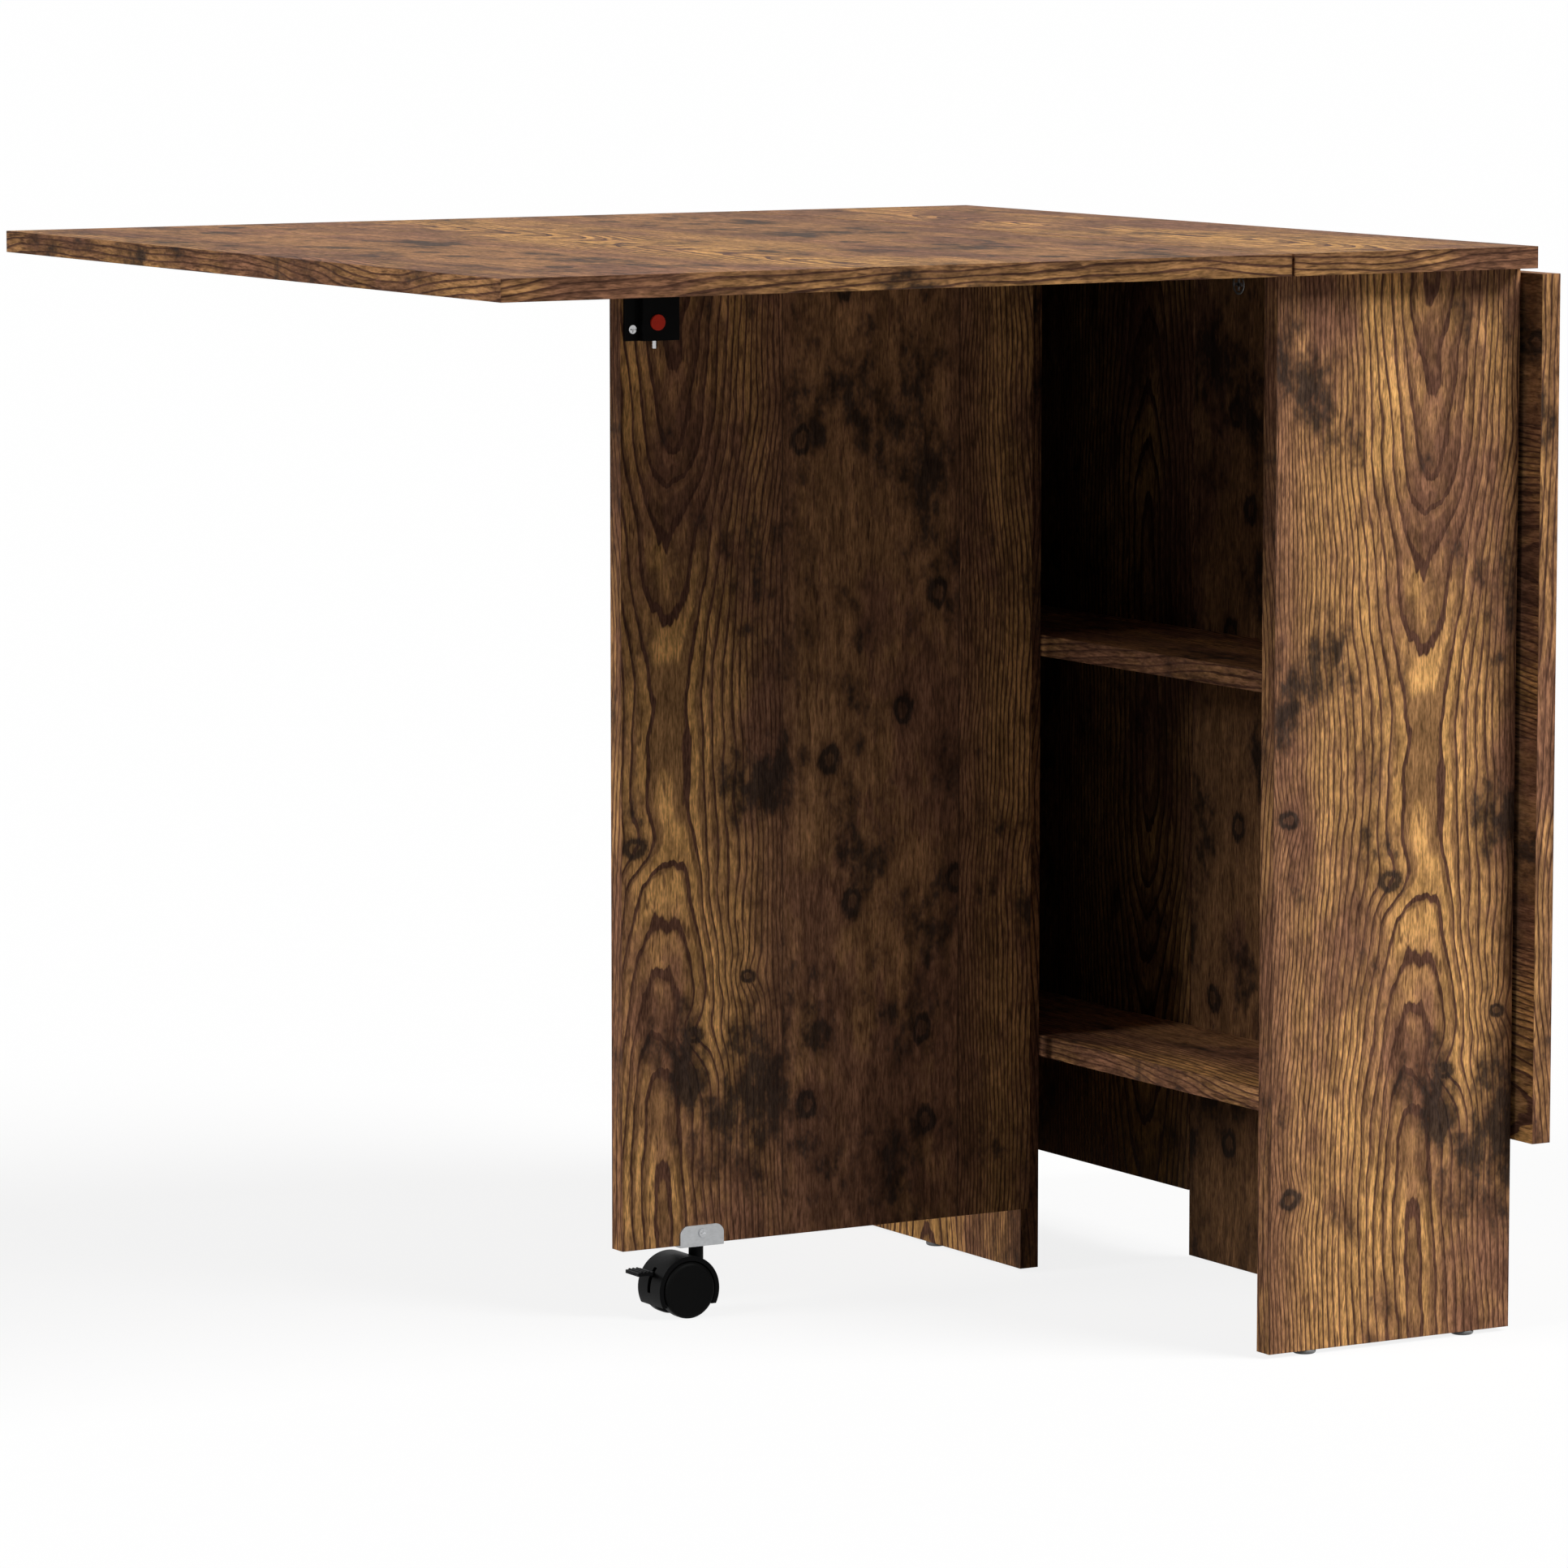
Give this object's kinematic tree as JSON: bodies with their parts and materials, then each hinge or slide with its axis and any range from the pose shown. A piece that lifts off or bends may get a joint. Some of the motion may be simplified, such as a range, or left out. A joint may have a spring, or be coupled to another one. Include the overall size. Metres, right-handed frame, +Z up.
{
  "type": "drop-leaf table with shelf cabinet",
  "caption": "Gate-leg dining table: a narrow open shelf cabinet with a fixed top strip, hinged drop leaves and swing-out gates on braked casters that latch under the leaves.",
  "frame": {"origin": "middle of the footprint of the rest pose, on the floor", "axes": "+X across the leaves from the raised one to the hanging one, +Y along the cabinet away from the viewer of the picture, +Z up"},
  "size_m": [0.819, 0.73, 0.75],
  "materials": {
    "printed_board": "old-wood print melamine on chipboard, satin",
    "steel": "bright steel",
    "zinc": "matt zinc plate",
    "beech": "plain beech",
    "black_plastic": "fine moulded black",
    "hood_plastic": "satin moulded black",
    "red_plastic": "moulded red",
    "glide_plastic": "grey nylon"
  },
  "bodies": {
    "cabinet": {"centre_top": "printed_board", "front_end_panel": "printed_board", "rear_end_panel": "printed_board", "left_side_wall": "printed_board", "right_side_wall": "printed_board", "upper_shelf": "printed_board", "lower_shelf": "printed_board", "floor_glides": "glide_plastic", "cam_locks": "zinc", "cam_bolts": "steel", "shelf_dowels": "beech", "leaf_hinge_top_plates": "steel", "leaf_hinge_pins": "steel", "leaf_hinge_top_screws": "steel", "gate_hinge_wall_plates": "steel", "gate_hinge_pins": "steel", "gate_hinge_wall_screws": "steel"},
    "left_leaf_body": {"left_leaf": "printed_board", "left_leaf_hinge_plates": "steel", "left_leaf_screws": "steel", "left_latch_catch": "black_plastic"},
    "left_gate_body": {"left_gate": "printed_board", "left_gate_hinge_plates": "steel", "left_gate_hinge_screws": "steel", "left_latch_housing": "black_plastic", "left_latch_screws": "steel", "left_latch_spring": "steel", "left_caster_bracket": "zinc", "left_caster_bracket_screws": "steel", "left_caster_stem": "steel"},
    "left_button": {"left_latch_button": "red_plastic"},
    "left_bolt": {"left_latch_bolt": "steel"},
    "left_caster": {"left_caster_hood": "hood_plastic", "left_caster_pins": "steel"},
    "left_near_wheel": {"left_caster_near_wheel": "black_plastic"},
    "left_far_wheel": {"left_caster_far_wheel": "black_plastic"},
    "left_brake_pedal": {"left_caster_brake_pedal": "hood_plastic"},
    "right_leaf_body": {"right_leaf": "printed_board", "right_leaf_hinge_plates": "steel", "right_leaf_screws": "steel", "right_latch_catch": "black_plastic"},
    "right_gate_body": {"right_gate": "printed_board", "right_gate_hinge_plates": "steel", "right_gate_hinge_screws": "steel", "right_latch_housing": "black_plastic", "right_latch_screws": "steel", "right_latch_spring": "steel", "right_caster_bracket": "zinc", "right_caster_bracket_screws": "steel", "right_caster_stem": "steel"},
    "right_button": {"right_latch_button": "red_plastic"},
    "right_bolt": {"right_latch_bolt": "steel"},
    "right_caster": {"right_caster_hood": "hood_plastic", "right_caster_pins": "steel"},
    "right_near_wheel": {"right_caster_near_wheel": "black_plastic"},
    "right_far_wheel": {"right_caster_far_wheel": "black_plastic"},
    "right_brake_pedal": {"right_caster_brake_pedal": "hood_plastic"}
  },
  "joints": [
    {"name": "left_gate_swing", "type": "hinge", "parent": "cabinet", "child": "left_gate_body", "pos_m": [0.212, 0.007, 0.388], "axis": [0, 0, 1], "range_deg": [0, 90]},
    {"name": "left_leaf_lift", "type": "hinge", "parent": "cabinet", "child": "left_leaf_body", "pos_m": [0.1895, 0, 0.732], "axis": [0, 1, 0], "range_deg": [0, 5]},
    {"name": "left_latch_button_press", "type": "slide", "parent": "left_gate_body", "child": "left_button", "axis": [0, 1, 0], "range_m": [0, 0.002], "stiffness_N_per_m": 400},
    {"name": "left_latch_bolt_slide", "type": "slide", "parent": "left_gate_body", "child": "left_bolt", "axis": [0, 0, 1], "range_m": [0, 0.006], "deforming": ["left_latch_spring"]},
    {"name": "left_caster_swivel", "type": "hinge", "parent": "left_gate_body", "child": "left_caster", "pos_m": [-0.061, -0.0035, 0.04], "axis": [0, 0, 1], "continuous": true},
    {"name": "left_near_wheel_roll", "type": "hinge", "parent": "left_caster", "child": "left_near_wheel", "pos_m": [-0.075, -0.0035, 0.02], "axis": [0, 1, 0], "continuous": true},
    {"name": "left_far_wheel_roll", "type": "hinge", "parent": "left_caster", "child": "left_far_wheel", "pos_m": [-0.075, -0.0035, 0.02], "axis": [0, 1, 0], "continuous": true},
    {"name": "left_brake_pedal_press", "type": "hinge", "parent": "left_caster", "child": "left_brake_pedal", "pos_m": [-0.088, -0.0035, 0.028], "axis": [0, -1, 0], "range_deg": [0, 15]},
    {"name": "right_gate_swing", "type": "hinge", "parent": "cabinet", "child": "right_gate_body", "pos_m": [0.369, -0.007, 0.388], "axis": [0, 0, -1], "range_deg": [0, 4.5]},
    {"name": "right_leaf_fold", "type": "hinge", "parent": "cabinet", "child": "right_leaf_body", "pos_m": [0.3915, 0, 0.732], "axis": [0, -1, 0], "range_deg": [0, 90]},
    {"name": "right_latch_button_press", "type": "slide", "parent": "right_gate_body", "child": "right_button", "axis": [1, 0, 0], "range_m": [0, 0.002], "stiffness_N_per_m": 400},
    {"name": "right_latch_bolt_slide", "type": "slide", "parent": "right_gate_body", "child": "right_bolt", "axis": [0, 0, 1], "range_m": [0, 0.006], "deforming": ["right_latch_spring"]},
    {"name": "right_caster_swivel", "type": "hinge", "parent": "right_gate_body", "child": "right_caster", "pos_m": [0.3585, 0.266, 0.04], "axis": [0, 0, 1], "continuous": true},
    {"name": "right_near_wheel_roll", "type": "hinge", "parent": "right_caster", "child": "right_near_wheel", "pos_m": [0.3585, 0.28, 0.02], "axis": [1, 0, 0], "continuous": true},
    {"name": "right_far_wheel_roll", "type": "hinge", "parent": "right_caster", "child": "right_far_wheel", "pos_m": [0.3585, 0.28, 0.02], "axis": [1, 0, 0], "continuous": true},
    {"name": "right_brake_pedal_press", "type": "hinge", "parent": "right_caster", "child": "right_brake_pedal", "pos_m": [0.3585, 0.293, 0.028], "axis": [-1, 0, 0], "range_deg": [0, 15]}
  ]
}
